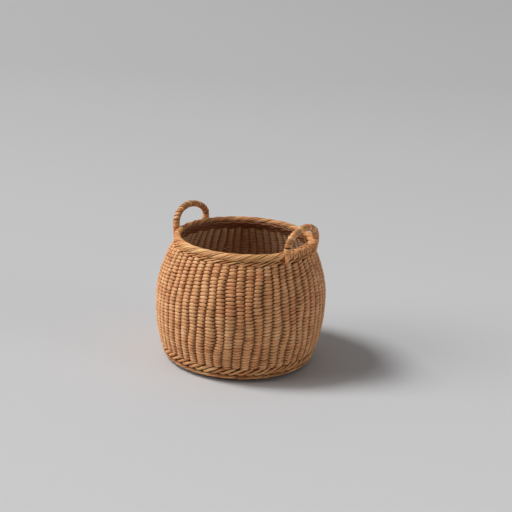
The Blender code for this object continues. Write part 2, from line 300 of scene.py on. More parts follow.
@dataclass
class StakeLayout:
    """Where the stakes stand round the wall, each wandering a little as it goes up."""

    count: int = 56
    wander: float = 0.085
    waves: tuple[float, ...] = (0.7, 1.4, 2.6)
    seed: int = 11
    phases: np.ndarray = field(init=False)
    weights: np.ndarray = field(init=False)

    def __post_init__(self) -> None:
        """Draw each stake's own wander."""
        rng = np.random.default_rng(self.seed)
        self.phases = rng.uniform(0, TURN, (self.count, len(self.waves)))
        self.weights = rng.normal(0, 1, (self.count, len(self.waves)))

    @property
    def pitch(self) -> float:
        """Angle from one stake to the next."""
        return TURN / self.count

    def drift(self, share: float) -> np.ndarray:
        """How far each stake is off its even place.

        Args:
            share: share of the wall's height.

        Returns:
            The distances in pitches, nothing at the foot and the top.
        """
        swing = np.sin(np.array(self.waves) * TURN * share + self.phases)
        hold = math.sin(math.pi * min(max(share, 0.0), 1.0)) ** 0.5
        return self.wander * hold * (self.weights * swing).sum(axis=1)

    def place(self, angle: np.ndarray, share: float) -> np.ndarray:
        """Place among the stakes at angles, where a whole number is a stake."""
        even = angle / self.pitch - 0.5
        return even - blend_between(self.drift(share), even)

    def angle(self, index: int, share: float) -> float:
        """Direction of one stake at a share of the wall's height."""
        return (index + 0.5 + self.drift(share)[index % self.count]) * self.pitch


@dataclass(frozen=True)
class HandShape:
    """The slight unevenness of hand work, shared by all pieces so that they keep together."""

    direction: float = math.radians(36)
    top_shift: float = 0.45 * MM
    foot_shift: float = -0.55 * MM
    rim_tilt: float = 0.022
    top: float = 72 * MM
    foot_lift: float = 0.4 * MM
    lift_from: float = 15 * MM
    lift_to: float = 40 * MM

    def settle(self, points: np.ndarray) -> np.ndarray:
        """Move points to where the worked shape has them.

        Args:
            points: rows of three.

        Returns:
            The moved points.
        """
        share = points[:, 2] / self.top
        level = np.array([math.cos(self.direction), math.sin(self.direction), 0.0])
        near = np.array([math.sin(self.direction), -math.cos(self.direction), 0.0])
        shift = self.foot_shift + (self.top_shift - self.foot_shift) * share
        out = (np.hypot(points[:, 0], points[:, 1]) - self.lift_from) / (self.lift_to - self.lift_from)
        lift = self.rim_tilt * (points @ near) * share + self.foot_lift * np.clip(out, 0, 1) ** 2
        return points + shift[:, None] * level + lift[:, None] * np.array([0.0, 0.0, 1.0])


WALL = WallShape()
STAKES = StakeLayout()
HAND = HandShape()
# Half width of a strand in a wale on the wall, as a share of the row's height
WALE_WIDTH_SHARE = 0.18


@dataclass
class Strand:
    """One strand of willow, laid along a route with an oval section.

    The thickness lies across the route towards the outside, and the width lies along the hint.
    """

    name: str
    route: np.ndarray
    width_hint: np.ndarray
    half_thickness: np.ndarray | float
    half_width: np.ndarray | float
    closed: bool = True
    sides: int = 10
    fullness: float = 2.3
    tone: np.ndarray | float = 0.0
    hue: np.ndarray | float = 0.0
    # Painted shade: how far the strand is darkened to its finish's recess colour
    recess_shade: np.ndarray | float = 0.0
    # Painted light: how far the strand takes the paler colour of the basket's inside
    painted_inside_light: np.ndarray | float = 0.0
    # Painted shade on the strand's two sides
    edge_shade: float = 0.5
    grain_shift: float = 0.0

    def axes(self) -> tuple[np.ndarray, np.ndarray]:
        """Directions across the route.

        Returns:
            The outward and the sideways direction at every point.
        """
        if self.closed:
            ahead = unit(np.roll(self.route, -1, axis=0) - np.roll(self.route, 1, axis=0))
        else:
            ahead = unit(np.gradient(self.route, axis=0))
        hint = np.broadcast_to(self.width_hint, self.route.shape)
        along = (hint * ahead).sum(axis=1, keepdims=True) * ahead
        sideways = unit(hint - along)
        return np.cross(ahead, sideways), sideways

    def section(self) -> tuple[np.ndarray, np.ndarray]:
        """Places round the oval section.

        Returns:
            Shares of the half thickness and shares of the half width.
        """
        turn = circle(self.sides)
        cosine, sine = np.cos(turn), np.sin(turn)
        power = 2 / self.fullness
        return np.sign(cosine) * np.abs(cosine) ** power, np.sign(sine) * np.abs(sine) ** power

    def surface(self) -> np.ndarray:
        """Lay the section over the route.

        Returns:
            Points of the strand's surface, ring after ring.
        """
        outward, sideways = self.axes()
        thick, wide = self.section()
        count = len(self.route)
        half_thickness = np.broadcast_to(self.half_thickness, count)[:, None, None]
        half_width = np.broadcast_to(self.half_width, count)[:, None, None]
        rings = self.route[:, None, :]
        rings = rings + outward[:, None, :] * half_thickness * thick[None, :, None]
        rings = rings + sideways[:, None, :] * half_width * wide[None, :, None]
        return rings.reshape(-1, 3)

    def build(self) -> bpy.types.Object:
        """Model the strand from a grid that is rolled round the route and closed.

        Returns:
            The strand as an object of its own.
        """
        rings = self.surface().reshape(len(self.route), self.sides, 3)
        if self.closed:
            rings = np.concatenate([rings, rings[:1]])
        rings = np.concatenate([rings, rings[:, :1]], axis=1)
        deselect_all()
        bpy.ops.mesh.primitive_grid_add(
            x_subdivisions=self.sides, y_subdivisions=len(rings) - 1, size=MM, calc_uvs=True,
        )
        piece = bpy.context.object
        piece.name = self.name
        piece.data.name = self.name
        self._dress(piece.data, rings)
        bpy.ops.object.mode_set(mode="EDIT")
        bpy.ops.mesh.select_all(action="SELECT")
        bpy.ops.mesh.remove_doubles(threshold=MM / 1000)
        if not self.closed:
            bpy.ops.mesh.select_all(action="SELECT")
            bpy.ops.mesh.fill_holes(sides=0)
        bpy.ops.mesh.select_all(action="SELECT")
        bpy.ops.mesh.normals_make_consistent(inside=False)
        bpy.ops.object.mode_set(mode="OBJECT")
        piece.data.shade_smooth()
        return piece

    def _dress(self, mesh: bpy.types.Mesh, rings: np.ndarray) -> None:
        """Place the vertices and write the tones and the grain's own map.

        Args:
            mesh: mesh of the grid.
            rings: places of its vertices, ring after ring, with the seams' rows repeated.
        """
        mesh.vertices.foreach_set("co", HAND.settle(rings.reshape(-1, 3)).astype(np.float32).ravel())
        rows, columns = rings.shape[:2]
        along = np.arange(rows) % len(self.route)
        # Painted shade: the strand darkens towards its two sides, where it meets its neighbours
        edges = np.abs(np.sin(TURN * np.arange(columns) / self.sides)) ** 6 * self.edge_shade
        layers = {TONE: self.tone, HUE: self.hue, RECESS_SHADE: self.recess_shade, PAINTED_INSIDE_LIGHT: self.painted_inside_light}
        for label, values in layers.items():
            full = np.broadcast_to(values, len(self.route))[along][:, None] + np.zeros((1, columns))
            if label == RECESS_SHADE:
                full = np.clip(full + edges[None, :], 0, 1)
            write_values(mesh, label, full.ravel())
        length = np.linalg.norm(np.diff(self.route, axis=0), axis=1).sum()
        scale_map(mesh, length, 4 * float(np.mean(self.half_width)), self.grain_shift)
        mesh.update()


def write_values(mesh: bpy.types.Mesh, label: str, values: np.ndarray) -> None:
    """Write one number for each vertex as an attribute.

    Args:
        mesh: mesh to write to.
        label: the attribute's name.
        values: as many numbers as vertices.
    """
    attribute = mesh.attributes.get(label) or mesh.attributes.new(label, "FLOAT", "POINT")
    attribute.data.foreach_set("value", values.astype(np.float32))


def scale_map(mesh: bpy.types.Mesh, length: float, girth: float, shift: float) -> None:
    """Scale the grid's map to metres, with U along the strand and V round it.

    Args:
        mesh: mesh with its primitive's map.
        length: length of the strand.
        girth: distance round the strand.
        shift: how far the grain is moved along, so that strands differ.
    """
    layer = mesh.uv_layers.active
    flat = np.zeros(len(mesh.loops) * 2, np.float32)
    layer.uv.foreach_get("vector", flat)
    pairs = flat.reshape(-1, 2)[:, ::-1] * np.array([length, girth]) + shift
    layer.uv.foreach_set("vector", pairs.astype(np.float32).ravel())


def join_pieces(name: str, parts: list[bpy.types.Object]) -> bpy.types.Object:
    """Join objects into one piece.

    Args:
        name: name of the joined piece.
        parts: objects to join.

    Returns:
        The joined object.
    """
    deselect_all()
    for part in parts:
        part.select_set(True)
    bpy.context.view_layer.objects.active = parts[0]
    if len(parts) > 1:
        bpy.ops.object.join()
    piece = bpy.context.view_layer.objects.active
    piece.name = name
    piece.data.name = name
    return piece


def hand_over(
    piece: bpy.types.Object, material: bpy.types.Material, nodes: list[str],
) -> bpy.types.Object:
    """Dress a finished piece, tie it to the frame and report it.

    Args:
        piece: finished object, with its place in its mesh.
        material: its finish.
        nodes: CAD nodes that the piece stands for.

    Returns:
        The same object.
    """
    piece.data.materials.clear()
    piece.data.materials.append(material)
    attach(piece, BODY)
    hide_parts(*nodes)
    triangles = sum(len(face.vertices) - 2 for face in piece.data.polygons)
    LOG.info("%s: %d triangles", piece.name, triangles)
    return piece


class NodeGraph:
    """A material's or a world's nodes, added one at a time with their settings and links."""

    def __init__(self, tree: bpy.types.NodeTree) -> None:
        """Start with an empty tree."""
        self.tree = tree
        tree.nodes.clear()

    def add(self, kind: str, settings: dict | None = None, **inputs) -> bpy.types.Node:
        """Add a node.

        Args:
            kind: the node's type name.
            settings: properties to set on the node.
            inputs: sockets by name, with _ for a space, or in_0 and so on by number. A value is a
                constant or the socket to link from.

        Returns:
            The new node.
        """
        node = self.tree.nodes.new(kind)
        for name, value in (settings or {}).items():
            setattr(node, name, value)
        for name, value in inputs.items():
            if name.startswith("in_"):
                socket = node.inputs[int(name[3:])]
            else:
                socket = node.inputs[name.replace("_", " ")]
            if isinstance(value, bpy.types.NodeSocket):
                self.tree.links.new(value, socket)
            else:
                socket.default_value = value
        return node


@dataclass(frozen=True)
class WillowFinish:
    """Peeled willow: a satin skin with fine streaks along the strand, with painted shade in its recesses.

    The streaks are drawn coarser than willow's own, which are about 0.1 mm wide, so that they show.
    Where a strand faces the basket's inside it is paler and less orange, as the photograph shows. This
    is painted light, set against the reddish light that bounces round the inside.
    """

    name: str
    pale: str
    body: str
    dark: str
    # Colour of painted shade in recesses and crossings
    recess_shade: str
    warm: str
    green: str
    # Colour of painted light on the sides facing the basket's inside
    inside: str = "#C9A888"
    roughness: float = 0.50
    grain_width: float = 0.35 * MM
    grain_length: float = 5.0 * MM
    patch_size: float = 12.0 * MM
    grain_depth: float = 0.05 * MM
    grain_strength: float = 0.6
    rough_less: float = 0.08
    rough_more: float = 0.12
    refraction: float = 1.47
    specular: float = 0.45
    tone_share: float = 0.22
    patch_share: float = 0.35
    dark_at: float = 0.38
    body_at: float = 0.66
    pale_at: float = 0.98
    tint_share: float = 0.5
    recess_shade_strength: float = 0.75

    def material(self) -> bpy.types.Material:
        """Make the material.

        Returns:
            The material, with its own node tree.
        """
        made = bpy.data.materials.new(self.name)
        made.use_nodes = True
        graph = NodeGraph(made.node_tree)
        grain = self._grain(graph)
        colour = self._colour(graph, grain)
        rough = graph.add(
            "ShaderNodeMapRange", Value=grain,
            To_Min=self.roughness - self.rough_less, To_Max=self.roughness + self.rough_more,
        )
        bump = graph.add(
            "ShaderNodeBump", Height=grain, Strength=self.grain_strength, Distance=self.grain_depth,
        )
        shader = graph.add(
            "ShaderNodeBsdfPrincipled", Base_Color=colour, Roughness=rough.outputs["Result"],
            Normal=bump.outputs["Normal"],
        )
        shader.inputs["IOR"].default_value = self.refraction
        shader.inputs["Specular IOR Level"].default_value = self.specular
        graph.add("ShaderNodeOutputMaterial", Surface=shader.outputs["BSDF"])
        return made

    def _grain(self, graph: NodeGraph) -> bpy.types.NodeSocket:
        """Streaks that run along the strand, drawn on the piece's own map.

        Args:
            graph: the material's nodes.

        Returns:
            The streaks, from nothing to one.
        """
        place = graph.add("ShaderNodeTexCoord").outputs["UV"]
        stretch = (1 / self.grain_length, 1 / self.grain_width, 1.0)
        mapping = graph.add("ShaderNodeMapping", Vector=place, Scale=stretch)
        noise = graph.add(
            "ShaderNodeTexNoise", Vector=mapping.outputs["Vector"], Scale=1.0, Detail=3.0, Roughness=0.6,
        )
        return noise.outputs["Fac"]

    def _colour(self, graph: NodeGraph, grain: bpy.types.NodeSocket) -> bpy.types.NodeSocket:
        """Colour from the streaks and the strand's own tone, covered in turn by four others.

        A warm or a greenish tint covers it by the strand's hue, then the painted shade of recesses and the
        painted light of the basket's inside, by the mesh's values for them.

        Args:
            graph: the material's nodes.
            grain: the streaks.

        Returns:
            The colour.
        """
        tone, hue, recess_shade, painted_inside_light = (
            graph.add("ShaderNodeAttribute", {"attribute_name": label}).outputs["Fac"]
            for label in (TONE, HUE, RECESS_SHADE, PAINTED_INSIDE_LIGHT)
        )
        place = graph.add("ShaderNodeTexCoord").outputs["Object"]
        patch = graph.add("ShaderNodeTexNoise", Vector=place, Scale=1 / self.patch_size, Detail=2.0)
        spread = graph.add(
            "ShaderNodeMath", {"operation": "MULTIPLY_ADD"}, in_0=tone, in_1=self.tone_share, in_2=grain,
        )
        mixed = graph.add(
            "ShaderNodeMath", {"operation": "MULTIPLY_ADD"}, in_0=patch.outputs["Fac"],
            in_1=self.patch_share, in_2=spread.outputs["Value"],
        )
        ramp = graph.add("ShaderNodeValToRGB", Fac=mixed.outputs["Value"])
        stops = ramp.color_ramp.elements
        stops[0].position, stops[0].color = self.dark_at, linear(self.dark)
        stops[1].position, stops[1].color = self.pale_at, linear(self.pale)
        middle = stops.new(self.body_at)
        middle.color = linear(self.body)
        colour = ramp.outputs["Color"]
        covers = (
            (hue, self.tint_share, self.warm),
            (hue, -self.tint_share, self.green),
            # Painted shade in recesses and crossings
            (recess_shade, self.recess_shade_strength, self.recess_shade),
            # Painted light on the sides facing the basket's inside
            (painted_inside_light, 1.0, self.inside),
        )
        for amount, strength, cover in covers:
            part = graph.add(
                "ShaderNodeMath", {"operation": "MULTIPLY", "use_clamp": True}, in_0=amount, in_1=strength,
            )
            mix = graph.add(
                "ShaderNodeMix", {"data_type": "RGBA"}, in_0=part.outputs["Value"], in_6=colour,
                in_7=linear(cover),
            )
            colour = mix.outputs[2]
        return colour


# Split skein of the wall: the pale split face shows, dull, with streaks of the pith side
WOVEN_SKEIN = WillowFinish(
    "peeled split willow, woven", pale="#F7C791", body="#E4A26A", dark="#A96C3F", recess_shade="#64371C",
    warm="#DB8353", green="#CCA468",
)
# Stouter strands of the wales and the border: rounder, a little more orange and more worn
STOUT_WILLOW = WillowFinish(
    "peeled willow, stout strands", pale="#F7C688", body="#E09C60", dark="#A16437", recess_shade="#4F2B14",
    warm="#DB7E49", green="#C59C5E", grain_width=0.45 * MM, grain_length=9.0 * MM, roughness=0.46,
)
# Whole rods, seen only in the gaps: duller and browner
WHOLE_ROD = WillowFinish(
    "peeled willow, whole rods", pale="#D79A63", body="#AE7442", dark="#7D4D28", recess_shade="#452512",
    warm="#AE6B3F", green="#9B7F44", roughness=0.58,
)
# Shaved skein of the handles: thin, smooth and the glossiest of the four
SHAVED_SKEIN = WillowFinish(
    "shaved willow skein", pale="#F7C087", body="#D79760", dark="#9D653A", recess_shade="#4B2914",
    warm="#DE864C", green="#A18852", grain_width=0.4 * MM, grain_length=7.0 * MM, roughness=0.42,
)
# The same skein gone brown, as a thin binding thread
DARK_THREAD = WillowFinish(
    "aged willow thread", pale="#9A6A42", body="#7A4F2E", dark="#57361F", recess_shade="#3A2112",
    warm="#84502F", green="#6E5730", roughness=0.6,
)


def stroke_tones(rng: np.random.Generator, turns: np.ndarray, spread: float) -> np.ndarray:
    """One random tone for each stroke, where a stroke is a whole turn.

    Args:
        rng: source of the draws.
        turns: turns made so far at each point of the route.
        spread: how much the tones differ.

    Returns:
        A tone for each point.
    """
    count = int(turns.max()) + 3
    draws = rng.normal(0, spread, count)
    return draws[np.floor(turns + 0.5).astype(int) % count]


@dataclass
class WovenWall:
    """Plain weave of split skein round the stakes, in courses one above the other.

    The courses are joined in bands, so that no piece is too heavy for the export. Neighbouring
    passes of a column have tones that drift together, and the side that the photograph shows at
    the right has passes that slant more, as they do there.
    """

    courses: int = 64
    steps_per_stake: int = 10
    bands: int = 6
    reach: float = 0.00150
    inner_reach: float = 0.00150
    half_thickness: float = 0.00050
    squareness: float = 1.7
    crest_half_share: float = 1.00
    inner_half_share: float = 0.97
    crossing_half_share: float = 0.65
    course_growth: float = 0.075
    course_swell: float = 0.10
    patch_rows: int = 9
    tilt: float = 0.10 * MM
    side_tilt: float = 0.30 * MM
    tilted_side: float = math.radians(30)
    lining_courses: int = 4
    lining_spacing: float = 0.00120
    lining_depth: float = 0.00130
    lining_swing: float = 0.00030
    lining_narrow: float = 0.62
    lining_widen: float = 0.20
    # Painted shade: how far the linings' tone is darkened
    lining_shade_tone: float = -1.5
    lining_start: float = 0.3
    lining_overlap: float = 0.7
    fullness: float = 2.4
    crest_power: float = 0.9
    lift_spread: float = 0.06
    proud_spread: float = 0.04 * MM
    width_spread: float = 0.05
    relief: float = 0.10 * MM
    relief_rate: float = 90.0
    waves: tuple[tuple[float, int, float], ...] = ((0.30 * MM, 2, 70.0), (0.18 * MM, 5, -110.0))
    # Painted shade where passes dive behind the stakes: its strength and curve on the outer face
    front_pass_shade: float = 0.75
    front_pass_shade_power: float = 1.3
    # Painted light on the sides of passes that face the inside: its share, and how fast it grows
    inside_light_share: float = 0.85
    inside_light_rate: float = 1.6
    inside_light_power: float = 1.5
    # Painted shade on the two sides of each pass
    edge_shade: float = 0.22
    weaver_tone: float = 0.22
    pass_tone: float = 0.18
    patch_tone: float = 0.22
    weaver_hue: float = 0.12
    pass_hue: float = 0.18
    patch_hue: float = 0.20
    warm_lean: float = 0.10
    seed: int = 23

    def levels(self) -> np.ndarray:
        """Lengths of wall below each course, closer together near the foot and a little at the top."""
        _, lengths = WALL.arc_table()
        shares = np.arange(self.courses) / (self.courses - 1)
        off_middle = 2 * shares - 1
        widths = 1 + self.course_growth * off_middle - self.course_swell * off_middle ** 2
        tops = np.cumsum(widths)
        return (tops - widths / 2) / tops[-1] * lengths[-1]

    def course(self, index: int, level: float, spacing: float) -> bpy.types.Object:
        """One strand that runs once round the wall, in front of one stake and behind the next.

        Args:
            index: number of the course from the foot.
            level: length of wall below it.
            spacing: mean length of wall that a course takes.

        Returns:
            The strand.
        """
        rng = np.random.default_rng(self.seed * 1000 + index)
        _, lengths = WALL.arc_table()
        share = level / lengths[-1]
        angle = circle(STAKES.count * self.steps_per_stake)
        place = STAKES.place(angle, share)
        phase = math.pi * (place + index)
        wave = np.cos(phase)
        swing = np.tanh(self.squareness * wave) / math.tanh(self.squareness)
        lift = uneven(rng, self.lift_spread * spacing, place)
        side = np.clip(np.cos(angle - self.tilted_side), 0, 1)
        lift = lift + (self.tilt + self.side_tilt * side) * np.sin(phase)
        height = WALL.height_at(level + lift + self.waviness(angle, level))
        relief = self.column_relief(level) + rng.normal(0, self.proud_spread, STAKES.count)
        proud = blend_between(relief, place)
        reach = np.where(swing > 0, self.reach + proud, self.inner_reach)
        radius, true_height = WALL.point(height, WALL.stake_depth - reach * swing)
        crest = np.abs(wave) ** self.crest_power
        growth = 1 + uneven(rng, self.width_spread, place)
        crest_half_share = np.where(wave > 0, self.crest_half_share, self.inner_half_share)
        half_width = self.crossing_half_share + (crest_half_share - self.crossing_half_share) * crest
        half_width = half_width * growth * spacing
        # Painted light on the sides facing the inside
        behind = np.clip(-self.inside_light_rate * swing, 0, 1) ** self.inside_light_power
        # Painted shade where a pass dives behind a stake, at full strength on the passes facing the inside
        front = np.where(wave > 0, self.front_pass_shade, 1.0)
        power = np.where(wave > 0, self.front_pass_shade_power, 1.0)
        return Strand(
            f"course_{index:02d}", around(radius, true_height, angle), WALL.upward(height, angle),
            self.half_thickness, half_width, sides=12, fullness=self.fullness,
            tone=self.tones(rng, place) + self.patches(place, share, self.patch_tone, 1),
            hue=self.hues(rng, place) + self.patches(place, share, self.patch_hue, 2) + self.warm_lean,
            recess_shade=front * (1 - np.abs(wave)) ** power, painted_inside_light=self.inside_light_share * behind,
            edge_shade=self.edge_shade, grain_shift=0.317 * index,
        ).build()

    def waviness(self, angle: np.ndarray, level: float) -> np.ndarray:
        """How far the courses dip and rise together round the wall.

        Args:
            angle: directions round the axis.
            level: length of wall below the course.

        Returns:
            A lift for each direction.
        """
        return sum(size * np.sin(turns * angle + rate * level) for size, turns, rate in self.waves)

    def column_relief(self, level: float) -> np.ndarray:
        """How far each column of passes stands proud.

        Args:
            level: length of wall below the course.

        Returns:
            A distance for each stake.
        """
        rng = np.random.default_rng(self.seed)
        phase = rng.uniform(0, TURN, STAKES.count)
        return self.relief * np.sin(phase + self.relief_rate * level)

    def tones(self, rng: np.random.Generator, place: np.ndarray) -> np.ndarray:
        """Tone along a course: weavers end and start, and each pass differs a little.

        Args:
            rng: source of the draws.
            place: places among the stakes.

        Returns:
            A tone for each place.
        """
        joints = np.sort(rng.uniform(0, STAKES.count, 2))
        weavers = rng.normal(0, self.weaver_tone, 2)
        inside = (place > joints[0]) & (place < joints[1])
        return np.where(inside, weavers[0], weavers[1]) + uneven(rng, self.pass_tone, place)

    def hues(self, rng: np.random.Generator, place: np.ndarray) -> np.ndarray:
        """Warm or greenish cast along a course.

        Args:
            rng: source of the draws.
            place: places among the stakes.

        Returns:
            A hue for each place.
        """
        return rng.normal(0, self.weaver_hue) + uneven(rng, self.pass_hue, place)

    def patches(self, place: np.ndarray, share: float, spread: float, kind: int) -> np.ndarray:
        """Values that change slowly up each column of passes, since neighbours age alike.

        Args:
            place: places among the stakes.
            share: share of the wall's height.
            spread: how much the values differ.
            kind: number of the set of draws.

        Returns:
            A value for each place.
        """
        rng = np.random.default_rng(self.seed * 10 + kind)
        draws = rng.normal(0, spread, (self.patch_rows + 1, STAKES.count))
        row = min(share, 0.999) * self.patch_rows
        low = int(row)
        mixed = draws[low] * (1 - row + low) + draws[low + 1] * (row - low)
        return blend_between(mixed, place)

    def lining(self, index: int, level: float, share: float) -> bpy.types.Object:
        """One course inside the stakes, behind a wale, so that no light comes through there; painted shade
        darkens it.

        Args:
            index: number of the course.
            level: its height on the wall's outer face.
            share: share of the wall's height that its stakes have.

        Returns:
            The strand.
        """
        rng = np.random.default_rng(self.seed * 2000 + index)
        angle = circle(STAKES.count * self.steps_per_stake)
        place = STAKES.place(angle, share)
        wave = np.cos(math.pi * (place + index))
        height = level + 0 * angle
        depth = WALL.stake_depth + self.lining_depth - self.lining_swing * wave
        radius, true_height = WALL.point(height, depth)
        half_width = self.lining_spacing * (self.lining_narrow + self.lining_widen * wave ** 2)
        return Strand(
            f"lining_{index}", around(radius, true_height, angle), WALL.upward(height, angle),
            self.half_thickness, half_width, tone=self.lining_shade_tone, hue=self.hues(rng, place),
            recess_shade=1.0, grain_shift=0.271 * index,
        ).build()

    def build(self) -> list[bpy.types.Object]:
        """Weave all the courses and join them in bands.

        Returns:
            The bands, from the foot up.
        """
        levels = self.levels()
        spacing = np.gradient(levels)
        strands = [self.course(index, levels[index], spacing[index]) for index in range(self.courses)]
        steps = [(index + self.lining_start) * self.lining_spacing for index in range(self.lining_courses)]
        bottom = WALL.weave_bottom + self.lining_overlap * self.lining_spacing
        feet = [self.lining(10 + index, bottom - step, 0.0) for index, step in enumerate(steps)]
        strands = feet + strands
        strands += [self.lining(index, WALL.weave_top + step, 1.0) for index, step in enumerate(steps)]
        cuts = [round(len(strands) * band / self.bands) for band in range(self.bands + 1)]
        return [
            join_pieces(f"wall_weave_{band + 1}", strands[cuts[band]:cuts[band + 1]])
            for band in range(self.bands)
        ]

    def dress(self, material: bpy.types.Material) -> None:
        """Build the bands and hand them over."""
        for band in self.build():
            hand_over(band, material, ["outer_weave", "inner_weave"])


@dataclass
class WovenBase:
    """Disc of plain weave under or over the crossing rods."""

    face: BaseFace
    edge_radius: float
    middle_height: float
    edge_rise: float
    flat_radius: float = 0.0240
    ring_spacing: float = 0.00125
    first_radius: float = 0.0030
    reach: float = 0.00020
    half_thickness: float = 0.00035
    steps_per_pass: int = 6
    shortest_pass: float = 2.2 * MM
    radius_spread: float = 0.05 * MM
    narrow_share: float = 0.55
    widen_share: float = 0.27
    ring_tone: float = 0.5
    pass_tone: float = 0.4
    ring_hue: float = 0.4
    # Share of painted light on the disc that faces the inside
    inside_light_share: float = 0.8
    seed: int = 41

    def passes(self, radius: float) -> int:
        """How many rods, or bundles of rods, a ring passes over.

        Args:
            radius: the ring's radius.

        Returns:
            The largest count whose passes aren't too short.
        """
        for count in (56, 28, 14):
            if TURN * radius / count > self.shortest_pass:
                return count
        return 8

    def ring(self, index: int, radius: float) -> bpy.types.Object:
        """One ring of the disc.

        Args:
            index: number of the ring from the middle.
            radius: its radius.

        Returns:
            The strand.
        """
        rng = np.random.default_rng(self.seed * 1000 + index)
        count = self.passes(radius)
        angle = circle(count * self.steps_per_pass)
        place = angle * count / TURN
        wave = np.cos(math.pi * (place + index))
        swing = 1.3 * wave - 0.3 * wave ** 3
        slope = max(radius - self.flat_radius, 0) / (self.edge_radius - self.flat_radius)
        height = self.middle_height + self.edge_rise * slope + self.reach * swing
        route = around(radius + uneven(rng, self.radius_spread, place, count), height, angle)
        # Painted shade where a ring dips under a rod, away from the face that shows
        facing = np.where(swing > 0, 1.0, -1.0) * (1.0 if self.face is BaseFace.INSIDE else -1.0)
        half_width = self.ring_spacing * (self.narrow_share + self.widen_share * np.abs(swing))
        tone = rng.normal(0, self.ring_tone) + uneven(rng, self.pass_tone, place, count)
        return Strand(
            f"ring_{self.face.value}_{index:02d}", route, around(-1.0, 0.0, angle),
            self.half_thickness, half_width, sides=8, tone=tone, hue=rng.normal(0, self.ring_hue),
            recess_shade=np.clip(0.6 - 0.6 * facing * np.abs(swing), 0, 1), grain_shift=0.211 * index,
            painted_inside_light=self.inside_light_share if self.face is BaseFace.INSIDE else 0.0,
        ).build()

    def knot(self) -> bpy.types.Object:
        """Flat knot that closes the middle of the disc.

        Returns:
            The knot.
        """
        deselect_all()
        bpy.ops.mesh.primitive_uv_sphere_add(
            segments=24, ring_count=12, radius=self.first_radius - self.ring_spacing / 3,
            location=(0, 0, self.middle_height), scale=(1, 1, 0.2), calc_uvs=True,
        )
        knot = bpy.context.object
        bpy.ops.object.transform_apply(location=True, rotation=True, scale=True)
        knot.data.shade_smooth()
        for label in (TONE, HUE, RECESS_SHADE, PAINTED_INSIDE_LIGHT):
            write_values(knot.data, label, np.zeros(len(knot.data.vertices)))
        return knot

    def dress(self, material: bpy.types.Material) -> None:
        """Weave the disc and hand it over."""
        count = int((self.edge_radius - self.first_radius) / self.ring_spacing) + 1
        step = (self.edge_radius - self.first_radius - self.ring_spacing / 2) / (count - 1)
        rings = [self.ring(index, self.first_radius + index * step) for index in range(count)]
        disc = join_pieces(f"base_weave_{self.face.value}", rings + [self.knot()])
        hand_over(disc, material, [f"base_{self.face.value}"])


@dataclass
class StakeRods:
    """The 28 rods that cross under the base and stand up as stakes at both their ends."""

    rods_each_way: int = 14
    spacing: float = 0.0020
    radius: float = 0.00082
    lower_height: float = 0.0022
    upper_height: float = 0.0041
    fan_radius: float = 0.0300
    corner_radius: float = 0.0412
    corner_height: float = 0.0044
    wall_points: int = 18
    top_height: float = 0.0690
    seed: int = 700

    def leg(self, edge_x: float, edge_y: float, height: float, stake: int) -> np.ndarray:
        """Half of a rod, from the edge of the crossing to the top of one stake.

        Args:
            edge_x: where the rod leaves the crossing.
            edge_y: the same, the other way.
            height: height of the rod's layer.
            stake: number of the stake that it becomes.

        Returns:
            Points of the half, from the middle outwards.
        """
        fan_height = (self.lower_height + self.upper_height) / 2
        foot = STAKES.angle(stake, 0)
        points = [np.array([edge_x, edge_y, height]), around(self.fan_radius, fan_height, foot)]
        points.append(around(self.corner_radius, self.corner_height, foot))
        for height_up in np.linspace(WALL.foot_height - 1.5 * MM, self.top_height, self.wall_points):
            share = (height_up - WALL.weave_bottom) / (WALL.weave_top - WALL.weave_bottom)
            radius, level = WALL.point(np.array(height_up), WALL.stake_depth)
            points.append(around(radius, level, STAKES.angle(stake, share)))
        return np.array(points)

    def rod(self, layer: Layer, index: int) -> bpy.types.Object:
        """One rod with its two stakes.

        Args:
            layer: layer that the rod lies in.
            index: its number in the layer.

        Returns:
            The rod.
        """
        rng = np.random.default_rng(self.seed + index + (self.rods_each_way if layer is Layer.Y else 0))
        edge = self.spacing * self.rods_each_way / 2
        across = (index + 0.5) * self.spacing - edge
        near = index - self.rods_each_way // 2
        quarter = STAKES.count // 4
        if layer is Layer.X:
            first = self.leg(edge, across, self.lower_height, near)
            second = self.leg(-edge, across, self.lower_height, 2 * quarter - 1 - near)
        else:
            first = self.leg(across, edge, self.upper_height, quarter - 1 - near)
            second = self.leg(across, -edge, self.upper_height, 3 * quarter + near)
        points = rounded(np.concatenate([second[::-1], first]), 2)
        rise = np.abs(np.gradient(points[:, 2]))
        flat = np.abs(np.gradient(np.hypot(points[:, 0], points[:, 1])))
        upright = np.array([0.0, 0.0, 1.0])
        hint = np.where((rise > flat)[:, None], np.cross(unit(points * [1, 1, 0]), upright), upright)
        # Painted shade: the rods, seen only in the gaps, are darkened throughout
        return Strand(
            f"rod_{layer.value}{index + 1:02d}", points, hint, self.radius, self.radius, closed=False,
            sides=8, fullness=2.0, tone=rng.normal(0, 0.5), recess_shade=0.35, edge_shade=0.0,
            grain_shift=0.1 * index,
        ).build()

    def dress(self, material: bpy.types.Material) -> None:
        """Make all the rods and hand them over."""
        for layer in Layer:
            for index in range(self.rods_each_way):
                node = f"stake_{layer.value}{index + 1:02d}"
                hand_over(self.rod(layer, index), material, [node])


